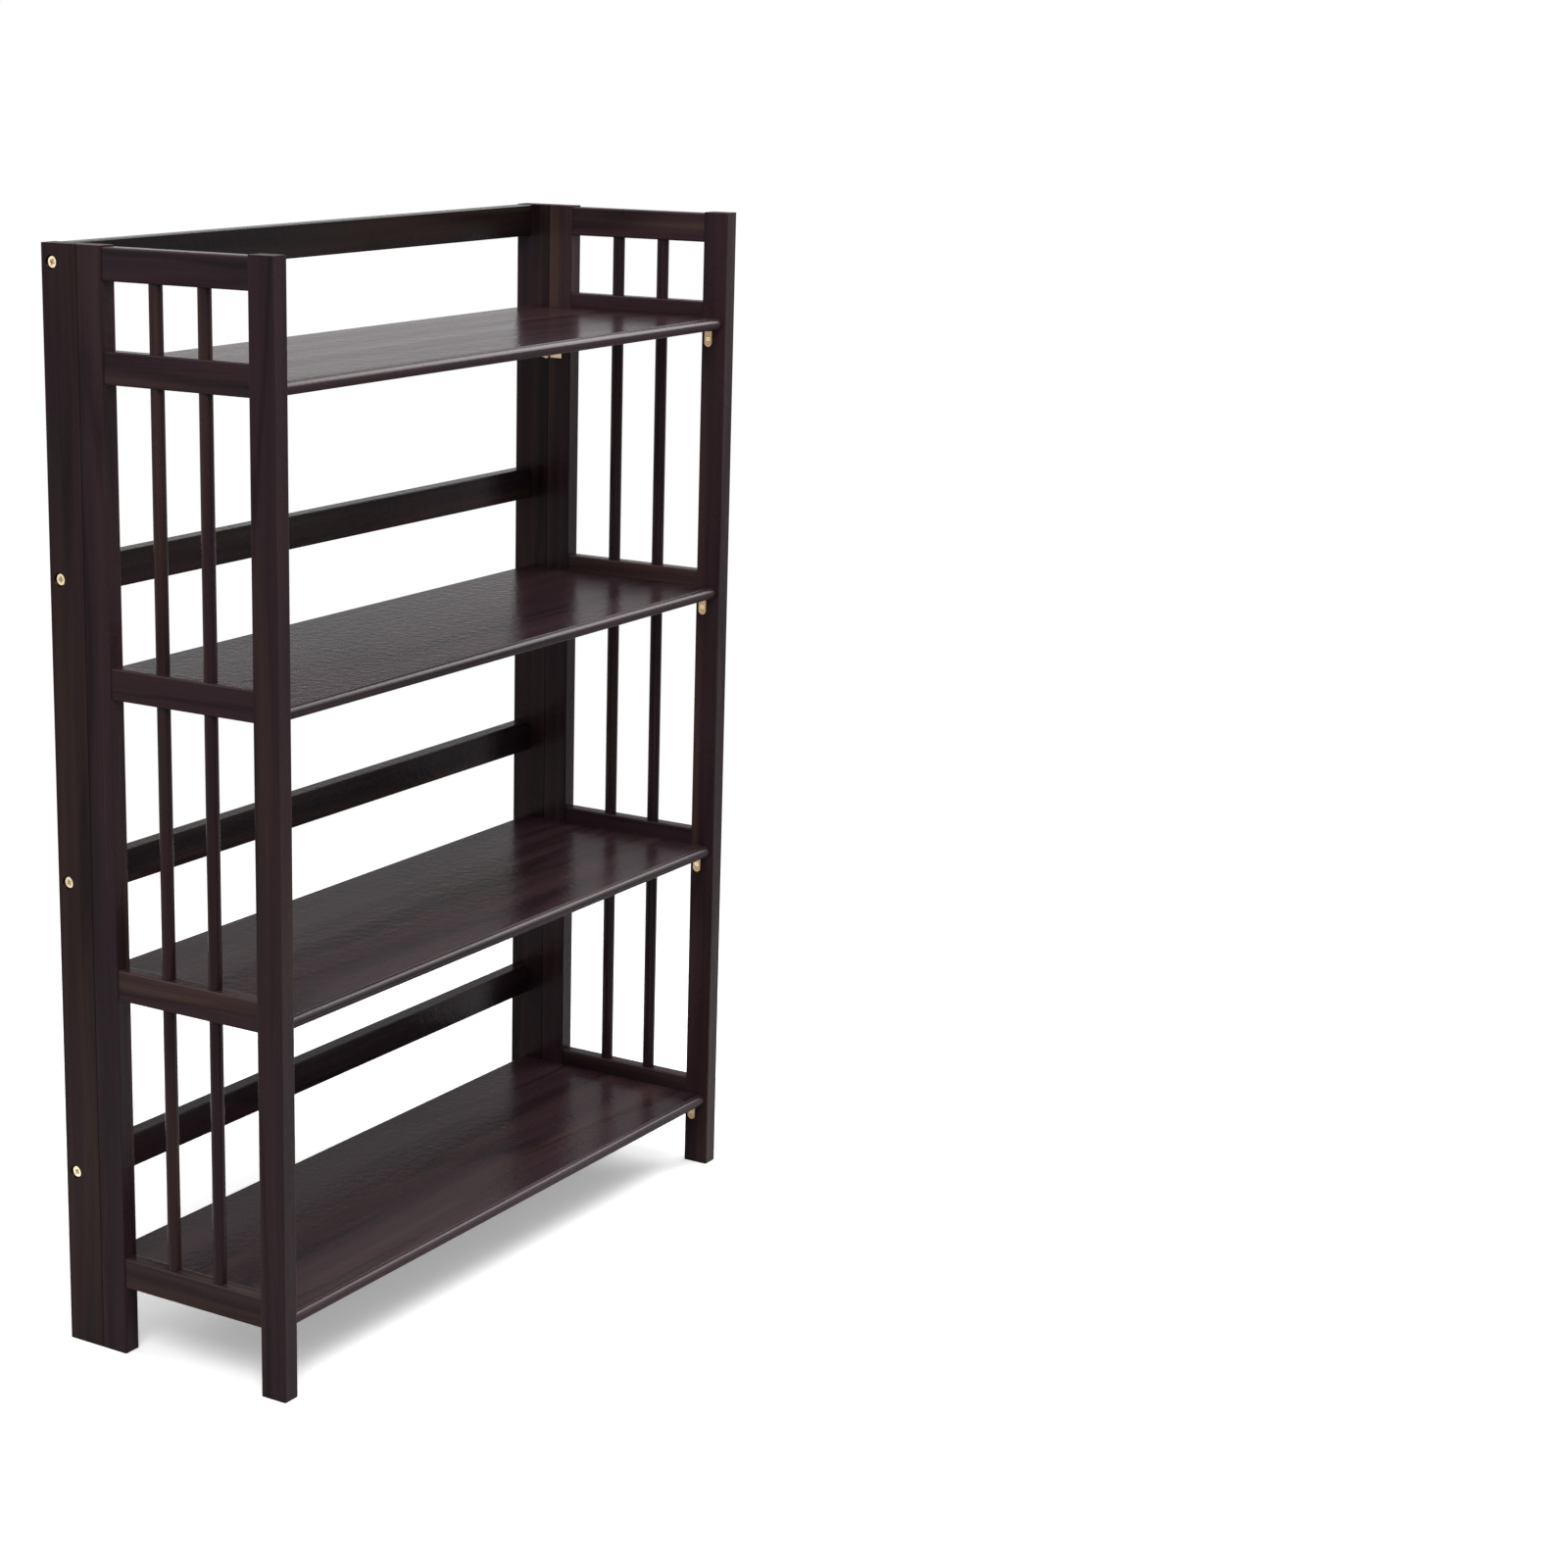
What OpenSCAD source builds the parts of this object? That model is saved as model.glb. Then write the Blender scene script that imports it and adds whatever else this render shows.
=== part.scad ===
// Folding bookcase with four hinged shelves between two slatted side frames.
// The frame stands on the floor at Z = 0, its front faces -Y and its width runs along X.
// The origin is the middle of the base. Millimetres.

/* [Overall] */
// Width over the outer faces of the side frames
width = 954; // [700:1:1100]
// Depth of one side frame, outer edge to outer edge of its stiles
side_depth = 271; // [240:0.5:280]
// Floor to the middle of the lowest side rail
foot_h = 100; // [60:0.5:180]
// Middle of the highest shelf rail to the top of the posts
gallery_h = 131.5; // [100:0.5:200]

/* [Posts and stiles] */
// Thickness of the rear posts and of the side frames' stiles
upright_t = 23; // [21:0.5:26]
// Depth of a rear post, front to back
post_d = 51; // [48:0.5:60]
// Width of a stile
stile_w = 34.5; // [32:0.5:42]
// Radius of the eased long edges
edge_r = 1.5; // [0.5:0.25:2]
// Radius of the edges where a post and its side frame meet
seam_edge_r = 0.5; // [0.3:0.1:1.5]

/* [Side rails] */
// Height of a side rail
rail_h = 36.5; // [30:0.5:42]
// Thickness of a side rail
rail_t = 19; // [17:0.5:20]
// Rounding of a rail's long edges
rail_edge_r = 2.5; // [1:0.25:3]
// Gap between the top of the stiles and the top side rail
top_rail_drop = 1.5; // [0.5:0.5:20]
// Length of a tenon in its stile
tenon_l = 12; // [8:0.5:20]
// Thickness of a tenon
tenon_t = 8; // [6:0.5:9]
// Shoulder above and below a tenon
tenon_shoulder = 6; // [4:0.5:9]

/* [Dowels] */
// Diameter of the upright dowels
dowel_d = 15.5; // [10:0.5:16]
// How far a dowel enters the top and bottom rails
dowel_seat = 10; // [5:0.5:14]
// Glue gap round tenons and dowels
glue_gap = 0.1; // [0.05:0.01:0.2]

/* [Back rails] */
// Height of a back rail
back_rail_h = 40.5; // [32:0.5:50]
// Thickness of a back rail
back_rail_t = 20; // [16:0.5:20.5]
// Gap from the back of the posts to a back rail
back_rail_inset = 2.5; // [1:0.5:3]
// Gap between the top of the posts and the top back rail
back_rail_drop = 0.5; // [0.5:0.5:20]

/* [Shelves] */
// Thickness of a shelf
shelf_t = 15.5; // [14:0.5:16]
// How far a shelf's underside lies above the bottom of its side rail
shelf_lift = 1.5; // [1:0.25:8]
// How far a shelf's nose stays behind the front of the stiles
nose_setback = 4; // [3:0.5:12]
// Gap between a shelf's end and the post
shelf_end_gap = 2.5; // [2.2:0.1:4]
// Distance from a shelf's pivot to its rear edge
shelf_tail = 12.75; // [11:0.25:15]
// Radius of the bead along a shelf's nose
bead_r = 7.3; // [6:0.1:7.5]
// Radius of the fine groove behind the bead
quirk_r = 0.9; // [0.5:0.1:1.2]
// Rounding of a shelf's rear edges
shelf_rear_r = 2; // [1:0.25:3]

/* [Shelf pivots] */
// Diameter of a pivot pin
pivot_d = 6; // [5:0.5:8]
// Running clearance round a pin, on the radius
pivot_clear = 0.08; // [0.04:0.01:0.1]
// Length of a pin in the shelf
pivot_in_shelf = 12; // [10:0.5:20]
// Length of a pin in the post
pivot_in_post = 10; // [8:0.5:14]

/* [Shelf hooks] */
// Width of a hook, along the stile
hook_w = 11; // [9:0.5:13]
// Thickness of the hook's sheet
hook_t = 1.5; // [1.2:0.1:1.8]
// How far a hook reaches in from the stile
hook_reach = 11.25; // [10:0.25:12]
// Length of the hook's plate below the shelf
hook_drop = 22; // [19:0.5:28]
// Middle of the hook's screw to the plate's lower end
hook_screw_rise = 10; // [7:0.5:11]
// Height of the hook's lip in the shelf's slot
lip_h = 5; // [3:0.5:6]
// Middle of a hook to the front of the stile
hook_from_front = 24; // [17:0.5:26]
// Gap between a hook and the shelf that rests on it
seat_gap = 0.2; // [0.1:0.05:0.3]
// Inner radius of the hook's bends
hook_bend_r = 0.7; // [0.4:0.1:1]
// Width of the slot for the lip
slot_w = 2.6; // [2.5:0.1:3]
// Length of the slot for the lip
slot_l = 18.5; // [16:0.5:24]
// Gap left above the lip in its slot
slot_head = 1.8; // [1:0.2:2.4]
// Gap between the lip and the front end of its slot
slot_front_gap = 0.8; // [0.6:0.1:1.5]

/* [Side hinges] */
// Length of a hinge along its pin
hinge_l = 38; // [34:1:42]
// Width of one leaf, from the pin's middle
leaf_w = 22; // [18:0.5:24]
// Thickness of a leaf
leaf_t = 1.6; // [1.2:0.1:1.8]
// Radius of the knuckles
knuckle_r = 3.3; // [3:0.1:3.4]
// Distance from the uprights' inner faces to the pin's middle
hinge_axis_off = 4; // [3.8:0.1:4.4]
// Diameter of a hinge pin
hinge_pin_d = 3; // [2.5:0.1:3.4]
// Room above and below a hinge, to the folded shelves
hinge_room = 8.5; // [3:0.5:40]
// Gap between one knuckle and the next
knuckle_gap = 0.3; // [0.2:0.05:0.5]
// Gap left between a folded shelf and the hooks' lips
fold_gap = 0.75; // [0.5:0.05:1.5]

/* [Screws] */
// Head diameter of the screws that hold the back rails
rail_screw_head_d = 13.6; // [9:0.2:14]
// Shank diameter of the screws that hold the back rails
rail_screw_d = 5; // [4:0.5:6]
// Length of the screws that hold the back rails
rail_screw_l = 48; // [40:1:70]
// Depth of such a screw's head below the post's face
rail_screw_sink = 2; // [0.5:0.1:3]
// Diameter of the counterbore over such a head
rail_screw_bore_d = 15; // [14.4:0.2:18]
// Middle of such a screw to the back of the posts
rail_screw_in = 14.5; // [11:0.25:16]
// Head diameter of the hinge and hook screws
small_screw_head_d = 6; // [5:0.2:6.6]
// Shank diameter of the hinge and hook screws
small_screw_d = 2.8; // [2.4:0.2:3.2]
// Length of the hinge and hook screws
small_screw_l = 14; // [10:0.5:16]
// Distance between the two screws of a leaf
leaf_screw_pitch = 22; // [18:0.5:24]

/* [Hidden] */

wood = "#34262a";
brass = "#d8b98c";
steel = "#9a9a9c";

round_fn = 48;
edge_fn = 24;

// Shelves are counted from the top, 1 to 4, and side rail 0 is the top rail.
shelf_count = 4;
// Shelves with a hinge below them
hinge_rows = [1, 2, 4];
// Cuts run this far past a face
cut = 1;

// Fit of a pivot pin in its shelf, and of a screw or hinge pin in its hole, on the radius
pivot_fit = 0.02;
screw_gap = 0.05;
pin_gap = 0.025;
// A hole is this much deeper than what goes into it.
end_gap = 0.3;
// A screw's point is this share of its shank.
point_share = 0.2;

// Shape of a screw's head, for a head and shank of a given diameter
function head_h(head_d, shank_d) = (head_d - shank_d) * 0.45;
function recess_arm(head_d) = head_d * 0.56;
function recess_slit(head_d) = head_d * 0.13;
function recess_depth(head_d) = head_d * 0.14;

depth = post_d + side_depth;
half_w = width / 2;
inner_x = half_w - upright_t;
frame_x = half_w - upright_t / 2;
back_y = depth / 2;
front_y = -depth / 2;
seam_y = back_y - post_d;

// A folded shelf just clears the lips of the hooks on the folded side frames.
hinge_x = inner_x - hinge_axis_off;
pivot_y = back_y - (post_d + hinge_axis_off - hook_reach - fold_gap - shelf_t / 2);
nose_y = front_y + nose_setback;
tail_y = pivot_y + shelf_tail;
shelf_x = inner_x - shelf_end_gap;

// Folded shelves stand one above the other, with room for a hinge between them.
fold_space = hinge_l + 2 * hinge_room;
shelf_pitch = tail_y - nose_y + fold_space;
height = foot_h + (shelf_count - 1) * shelf_pitch + gallery_h;

// The side frame's opening between its stiles, and its two dowels at the thirds
opening_rear_y = seam_y - stile_w;
opening_front_y = front_y + stile_w;
opening = opening_rear_y - opening_front_y;
function dowel_y(i) = opening_rear_y - i * opening / 3;

function rail_z(i) = i == 0 ? height - top_rail_drop - rail_h / 2
                            : height - gallery_h - (i - 1) * shelf_pitch;
function back_rail_z(i) = height - back_rail_drop - back_rail_h / 2 - (i - 1) * shelf_pitch;
back_rail_y = back_y - back_rail_inset - back_rail_t / 2;

function shelf_z(i) = rail_z(i) - rail_h / 2 + shelf_lift + shelf_t / 2;
function hinge_z(i) = shelf_z(i) - shelf_tail - fold_space / 2;

hook_y = front_y + hook_from_front;
lip_x = inner_x - hook_reach;
hook_outer_r = hook_t + hook_bend_r;
slot_front_y = hook_y - hook_w / 2 - slot_front_gap;
slot_depth = lip_h + slot_head - seat_gap;
hook_screw_below = hook_drop - hook_screw_rise;

// A leaf's screws stand in the middle of its flat part.
leaf_edge = knuckle_r + knuckle_gap;
leaf_screw_y = (leaf_edge + leaf_w) / 2;
knuckle_l = (hinge_l - 2 * knuckle_gap) / 3;
pin_head_r = (knuckle_r + hinge_pin_d / 2) / 2;
pin_head_h = 0.8;

// Rectangle a by b with rounded corners, on its centre
module eased(a, b, r) {
  square([a - 2 * r, b], center = true);
  square([a, b - 2 * r], center = true);
  for (sx = [-1, 1], sy = [-1, 1])
    translate([sx * (a / 2 - r), sy * (b / 2 - r)]) circle(r = r, $fn = edge_fn);
}

// The same with two radii: low_r at the -Y end and high_r at the +Y end
module eased_ends(a, b, low_r, high_r) {
  mirror([0, 1, 0]) eased_end(a, b, low_r);
  eased_end(a, b, high_r);
}
module eased_end(a, b, r) {
  translate([-a / 2, -r]) square([a, b / 2]);
  translate([r - a / 2, 0]) square([a - 2 * r, b / 2]);
  for (s = [-1, 1]) translate([s * (a / 2 - r), b / 2 - r]) circle(r = r, $fn = edge_fn);
}

// Extrusions whose outline lies in the YZ plane or the XZ plane
module along_x(x0, x1) {
  translate([x0, 0, 0]) rotate([90, 0, 90]) linear_extrude(x1 - x0) children();
}
module along_y(y0, y1) {
  translate([0, y1, 0]) rotate([90, 0, 0]) linear_extrude(y1 - y0) children();
}

// Everything at the side is drawn for the right and mirrored for the left.
module at_side(side) {
  if (side == "right") children();
  else mirror([1, 0, 0]) children();
}

// Turns what points along +Z to point along -X or +X, at a place
module into_minus_x(x, y, z) {
  translate([x, y, z]) rotate([0, -90, 0]) children();
}
module into_plus_x(x, y, z) {
  translate([x, y, z]) rotate([0, 90, 0]) children();
}

// A screw along +Z with the top of its head's cone at Z = 0
module screw(head_d, shank_d, length) {
  cone = head_h(head_d, shank_d);
  tip = shank_d;
  difference() {
    union() {
      cylinder(h = cone, r1 = head_d / 2, r2 = shank_d / 2, $fn = round_fn);
      cylinder(h = length - tip, r = shank_d / 2, $fn = round_fn);
      translate([0, 0, length - tip])
        cylinder(h = tip, r1 = shank_d / 2, r2 = point_share * shank_d / 2, $fn = round_fn);
    }
    recess(head_d);
  }
}

// Cross recess in a screw's head
module recess(head_d) {
  arm = recess_arm(head_d);
  slit = recess_slit(head_d);
  for (turn = [0, 90])
    rotate(turn) translate([-arm / 2, -slit / 2, -cut])
      cube([arm, slit, cut + recess_depth(head_d)]);
}

// The hole for a screw, with a seat for its head's cone
module screw_hole(head_d, shank_d, length) {
  head_r = head_d / 2 + screw_gap;
  shank_r = shank_d / 2 + screw_gap;
  cylinder(h = head_h(head_d, shank_d), r1 = head_r, r2 = shank_r, $fn = round_fn);
  translate([0, 0, -cut]) cylinder(h = cut, r = head_r, $fn = round_fn);
  cylinder(h = length + end_gap, r = shank_r, $fn = round_fn);
}

module small_screw() {
  screw(small_screw_head_d, small_screw_d, small_screw_l);
}
module small_screw_hole() {
  screw_hole(small_screw_head_d, small_screw_d, small_screw_l);
}

// A back rail's screw lies at the bottom of a counterbore in the post.
module at_rail_screw(i) {
  into_minus_x(half_w - rail_screw_sink, back_y - rail_screw_in, back_rail_z(i)) children();
}
module rail_screw_hole() {
  screw_hole(rail_screw_head_d, rail_screw_d, rail_screw_l);
  translate([0, 0, -rail_screw_sink - cut])
    cylinder(h = rail_screw_sink + cut, r = rail_screw_bore_d / 2, $fn = round_fn);
}

// Rear posts

module post(side) {
  color(wood) at_side(side) difference() {
    translate([frame_x, back_y - post_d / 2, 0])
      linear_extrude(height) eased_ends(upright_t, post_d, seam_edge_r, edge_r);
    for (i = [1 : shelf_count]) {
      into_plus_x(inner_x - cut, pivot_y, shelf_z(i))
        cylinder(h = cut + pivot_in_post + end_gap, r = pivot_d / 2 + pivot_clear, $fn = round_fn);
      at_rail_screw(i) rail_screw_hole();
    }
    at_leaf_screws(1) small_screw_hole();
  }
}

// The places of the leaf screws, on a post (1) or on a rear stile (-1)
module at_leaf_screws(way) {
  for (row = hinge_rows, s = [-1, 1])
    into_plus_x(inner_x - leaf_t, seam_y + way * leaf_screw_y,
                hinge_z(row) + s * leaf_screw_pitch / 2)
      children();
}

// Back rails and their screws

module back_rail(i) {
  color(wood) difference() {
    translate([0, back_rail_y, back_rail_z(i)])
      along_x(-inner_x, inner_x) eased(back_rail_t, back_rail_h, edge_r);
    for (side = ["left", "right"]) at_side(side) at_rail_screw(i) rail_screw_hole();
  }
}

module back_rail_screws() {
  color(brass) for (side = ["left", "right"], i = [1 : shelf_count])
    at_side(side) at_rail_screw(i) screw(rail_screw_head_d, rail_screw_d, rail_screw_l);
}

// Side frames: two stiles, five rails and two dowels

module stile_body(y0, rear_r) {
  translate([frame_x, y0 + stile_w / 2, 0])
    linear_extrude(height) eased_ends(upright_t, stile_w, edge_r, rear_r);
}

// Room for the tenons of all rails, from the stile's edge at y towards way
module mortises(y, way) {
  deep = tenon_l + glue_gap + cut;
  for (i = [0 : shelf_count])
    translate([frame_x - tenon_t / 2 - glue_gap, way > 0 ? y - cut : y + cut - deep,
               rail_z(i) - rail_h / 2 + tenon_shoulder - glue_gap])
      cube([tenon_t + 2 * glue_gap, deep, rail_h - 2 * tenon_shoulder + 2 * glue_gap]);
}

module rear_stile(side) {
  color(wood) at_side(side) difference() {
    stile_body(opening_rear_y, seam_edge_r);
    mortises(opening_rear_y, 1);
    at_leaf_screws(-1) small_screw_hole();
  }
}

module front_stile(side) {
  color(wood) at_side(side) difference() {
    stile_body(front_y, edge_r);
    mortises(opening_front_y, -1);
    at_hook_screws() small_screw_hole();
  }
}

module side_rail(side, i) {
  color(wood) at_side(side) difference() {
    union() {
      translate([frame_x, 0, rail_z(i)])
        along_y(opening_front_y, opening_rear_y) eased(rail_t, rail_h, rail_edge_r);
      translate([frame_x - tenon_t / 2, opening_front_y - tenon_l,
                 rail_z(i) - rail_h / 2 + tenon_shoulder])
        cube([tenon_t, opening + 2 * tenon_l, rail_h - 2 * tenon_shoulder]);
    }
    for (k = [1, 2]) translate([frame_x, dowel_y(k), 0]) dowel_bore(i);
  }
}

// The bore for a dowel: blind in the top and bottom rails, through in the others
module dowel_bore(i) {
  low = i == 0 ? rail_z(i) - rail_h / 2 - cut
      : i == shelf_count ? rail_z(i) + rail_h / 2 - dowel_seat - glue_gap
      : rail_z(i) - rail_h / 2 - cut;
  high = i == 0 ? rail_z(i) - rail_h / 2 + dowel_seat + glue_gap : rail_z(i) + rail_h / 2 + cut;
  translate([0, 0, low]) cylinder(h = high - low, r = dowel_d / 2 + glue_gap, $fn = round_fn);
}

module dowel(side, k) {
  low = rail_z(shelf_count) + rail_h / 2 - dowel_seat;
  high = rail_z(0) - rail_h / 2 + dowel_seat;
  color(wood) at_side(side) translate([frame_x, dowel_y(k), low])
    cylinder(h = high - low, r = dowel_d / 2, $fn = round_fn);
}

// Shelves: a board with a beaded nose, slots for the hooks and bores for its pivots

module shelf_outline() {
  half_t = shelf_t / 2;
  bead_y = nose_y + bead_r;
  difference() {
    union() {
      translate([bead_y, 0]) circle(r = bead_r, $fn = 64);
      translate([bead_y, -half_t]) square([tail_y - shelf_rear_r - bead_y, shelf_t]);
      translate([tail_y - 2 * shelf_rear_r, -half_t + shelf_rear_r])
        square([2 * shelf_rear_r, shelf_t - 2 * shelf_rear_r]);
      for (s = [-1, 1])
        translate([tail_y - shelf_rear_r, s * (half_t - shelf_rear_r)])
          circle(r = shelf_rear_r, $fn = edge_fn);
    }
    for (s = [-1, 1]) translate([bead_y, s * half_t]) circle(r = quirk_r, $fn = edge_fn);
  }
}

module shelf(i) {
  color(wood) translate([0, 0, shelf_z(i)]) difference() {
    along_x(-shelf_x, shelf_x) shelf_outline();
    for (side = ["left", "right"]) at_side(side) {
      lip_slot();
      into_plus_x(shelf_x - pivot_in_shelf - end_gap, pivot_y, 0)
        cylinder(h = pivot_in_shelf + end_gap + cut, r = pivot_d / 2 + pivot_fit, $fn = round_fn);
    }
  }
}

// Slot with round ends in the underside, round the hook's lip
module lip_slot() {
  r = slot_w / 2;
  translate([lip_x + hook_t / 2, slot_front_y + r, -shelf_t / 2 - cut])
    linear_extrude(cut + slot_depth) {
      circle(r = r, $fn = edge_fn);
      translate([-r, 0]) square([slot_w, slot_l - slot_w]);
      translate([0, slot_l - slot_w]) circle(r = r, $fn = edge_fn);
    }
}

module shelf_pivots(i) {
  color(steel) for (side = ["left", "right"])
    at_side(side) into_plus_x(shelf_x - pivot_in_shelf, pivot_y, shelf_z(i))
      cylinder(h = pivot_in_shelf + shelf_end_gap + pivot_in_post, r = pivot_d / 2, $fn = round_fn);
}

// Shelf hooks: a plate on the front stile, a ledge under the shelf and a lip in its slot

function hook_top_z(i) = shelf_z(i) - shelf_t / 2 - seat_gap;

// A quarter of a bend, in the quadrant that qx and qz name
module bend(qx, qz) {
  intersection() {
    difference() {
      circle(r = hook_outer_r, $fn = round_fn);
      circle(r = hook_bend_r, $fn = round_fn);
    }
    translate([qx > 0 ? 0 : -2 * hook_outer_r, qz > 0 ? 0 : -2 * hook_outer_r])
      square(2 * hook_outer_r);
  }
}

// The bent sheet seen from the front, with the ledge's top at Z = 0
module hook_section() {
  translate([inner_x - hook_outer_r, -hook_outer_r]) bend(1, 1);
  translate([lip_x + hook_outer_r, -hook_t + hook_outer_r]) bend(-1, -1);
  translate([lip_x + hook_outer_r, -hook_t])
    square([hook_reach - 2 * hook_outer_r, hook_t]);
  translate([lip_x, -hook_t + hook_outer_r]) square([hook_t, lip_h + hook_t - hook_outer_r]);
}

// The plate seen from the side, with a round lower end
module hook_plate() {
  translate([-hook_w / 2, -hook_drop + hook_w / 2])
    square([hook_w, hook_drop - hook_w / 2 - hook_outer_r]);
  translate([0, -hook_drop + hook_w / 2]) circle(r = hook_w / 2, $fn = round_fn);
}

module at_hook_screws() {
  for (i = [1 : shelf_count])
    into_plus_x(inner_x - hook_t, hook_y, hook_top_z(i) - hook_screw_below) children();
}

module hooks(side) {
  color(brass) at_side(side) difference() {
    for (i = [1 : shelf_count]) translate([0, hook_y, hook_top_z(i)]) {
      along_y(-hook_w / 2, hook_w / 2) hook_section();
      along_x(inner_x - hook_t, inner_x) hook_plate();
    }
    at_hook_screws() small_screw_hole();
  }
}

module hook_screws(side) {
  color(brass) at_side(side) at_hook_screws() small_screw();
}

// Side hinges: the post's leaf has the end knuckles and the frame's leaf the middle one.
// A leaf is drawn round the pin's middle, towards +Y, and way turns it towards -Y.

module barrel(z0) {
  translate([0, 0, z0]) cylinder(h = knuckle_l, r = knuckle_r, $fn = round_fn);
}

// The strip that joins a knuckle to its leaf
module neck(z0, way) {
  reach = leaf_edge + leaf_t;
  translate([hinge_axis_off - leaf_t, way > 0 ? 0 : -reach, z0]) cube([leaf_t, reach, knuckle_l]);
}

module leaf(way, knuckles, bore_r) {
  difference() {
    union() {
      translate([hinge_axis_off - leaf_t, way > 0 ? leaf_edge : -leaf_w, -hinge_l / 2])
        cube([leaf_t, leaf_w - leaf_edge, hinge_l]);
      for (k = knuckles) {
        z0 = -hinge_l / 2 + k * (knuckle_l + knuckle_gap);
        barrel(z0);
        neck(z0, way);
      }
    }
    translate([0, 0, -hinge_l / 2 - cut])
      cylinder(h = hinge_l + 2 * cut, r = bore_r, $fn = round_fn);
  }
}

module leaves(side, way, knuckles, bore_r) {
  color(brass) at_side(side) difference() {
    for (row = hinge_rows)
      translate([hinge_x, seam_y, hinge_z(row)]) leaf(way, knuckles, bore_r);
    at_leaf_screws(way) small_screw_hole();
  }
}

module post_leaves(side) {
  leaves(side, 1, [0, 2], hinge_pin_d / 2 + pin_gap);
}

module frame_leaves(side) {
  leaves(side, -1, [1], hinge_pin_d / 2 + 2 * pin_gap);
}

module hinge_pins(side) {
  color(brass) at_side(side) for (row = hinge_rows)
    translate([hinge_x, seam_y, hinge_z(row)]) {
      cylinder(h = hinge_l + 2 * pin_gap, r = hinge_pin_d / 2, center = true, $fn = round_fn);
      for (s = [-1, 1])
        translate([0, 0, s * (hinge_l / 2 + pin_gap + pin_head_h / 2)])
          cylinder(h = pin_head_h, r = pin_head_r, center = true, $fn = round_fn);
    }
}

module leaf_screws(side, way) {
  color(brass) at_side(side) at_leaf_screws(way) small_screw();
}

post("left");  // left_post
post("right");  // right_post
back_rail(1);  // back_rail_1
back_rail(2);  // back_rail_2
back_rail(3);  // back_rail_3
back_rail(4);  // back_rail_4
back_rail_screws();
rear_stile("left");  // left_rear_stile
front_stile("left");  // left_front_stile
rear_stile("right");  // right_rear_stile
front_stile("right");  // right_front_stile
side_rail("left", 0);  // left_top_rail
side_rail("left", 1);  // left_rail_1
side_rail("left", 2);  // left_rail_2
side_rail("left", 3);  // left_rail_3
side_rail("left", 4);  // left_rail_4
side_rail("right", 0);  // right_top_rail
side_rail("right", 1);  // right_rail_1
side_rail("right", 2);  // right_rail_2
side_rail("right", 3);  // right_rail_3
side_rail("right", 4);  // right_rail_4
dowel("left", 1);  // left_rear_dowel
dowel("left", 2);  // left_front_dowel
dowel("right", 1);  // right_rear_dowel
dowel("right", 2);  // right_front_dowel
shelf(1);  // shelf_1
shelf(2);  // shelf_2
shelf(3);  // shelf_3
shelf(4);  // shelf_4
shelf_pivots(1);  // shelf_1_pivots
shelf_pivots(2);  // shelf_2_pivots
shelf_pivots(3);  // shelf_3_pivots
shelf_pivots(4);  // shelf_4_pivots
hooks("left");  // left_hooks
hooks("right");  // right_hooks
hook_screws("left");  // left_hook_screws
hook_screws("right");  // right_hook_screws
post_leaves("left");  // left_post_leaves
post_leaves("right");  // right_post_leaves
frame_leaves("left");  // left_frame_leaves
frame_leaves("right");  // right_frame_leaves
hinge_pins("left");  // left_hinge_pins
hinge_pins("right");  // right_hinge_pins
leaf_screws("left", 1);  // left_post_leaf_screws
leaf_screws("right", 1);  // right_post_leaf_screws
leaf_screws("left", -1);  // left_frame_leaf_screws
leaf_screws("right", -1);  // right_frame_leaf_screws
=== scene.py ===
# Looks of the folding bookcase: espresso-stained wood under lacquer, brass screws, hooks and hinges
import math

import bpy
import numpy as np
from mathutils import Matrix


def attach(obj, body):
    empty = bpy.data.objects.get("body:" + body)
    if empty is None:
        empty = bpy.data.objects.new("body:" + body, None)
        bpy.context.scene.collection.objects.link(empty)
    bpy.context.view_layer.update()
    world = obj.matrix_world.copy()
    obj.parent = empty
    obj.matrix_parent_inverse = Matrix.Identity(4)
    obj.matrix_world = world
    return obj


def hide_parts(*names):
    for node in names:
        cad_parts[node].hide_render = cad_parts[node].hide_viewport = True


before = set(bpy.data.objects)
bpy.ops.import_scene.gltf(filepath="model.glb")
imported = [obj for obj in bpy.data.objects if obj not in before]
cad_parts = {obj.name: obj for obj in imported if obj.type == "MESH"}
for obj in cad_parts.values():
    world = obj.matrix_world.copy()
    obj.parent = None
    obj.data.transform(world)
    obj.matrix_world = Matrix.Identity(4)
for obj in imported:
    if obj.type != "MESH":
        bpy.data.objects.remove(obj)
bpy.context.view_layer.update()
print("frame loaded:", len(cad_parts), "nodes")


# Camera at the photograph's viewpoint, set up first. Its image is taken to be 1600 by 1600 pixels.

camera = {
    "place": (-3.0566, -2.1993, 1.5279),  # metres
    "yaw": 55.869,  # degrees from +Y towards +X
    "pitch": -13.792,
    "roll": 0.369,
    "focalPixels": 3202.9,
    "imagePixels": 1600,
    "sensor": 36.0,  # mm
    "shiftX": 0.18,
    "nearest": 0.05,  # metres
    "farthest": 60,
}


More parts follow.
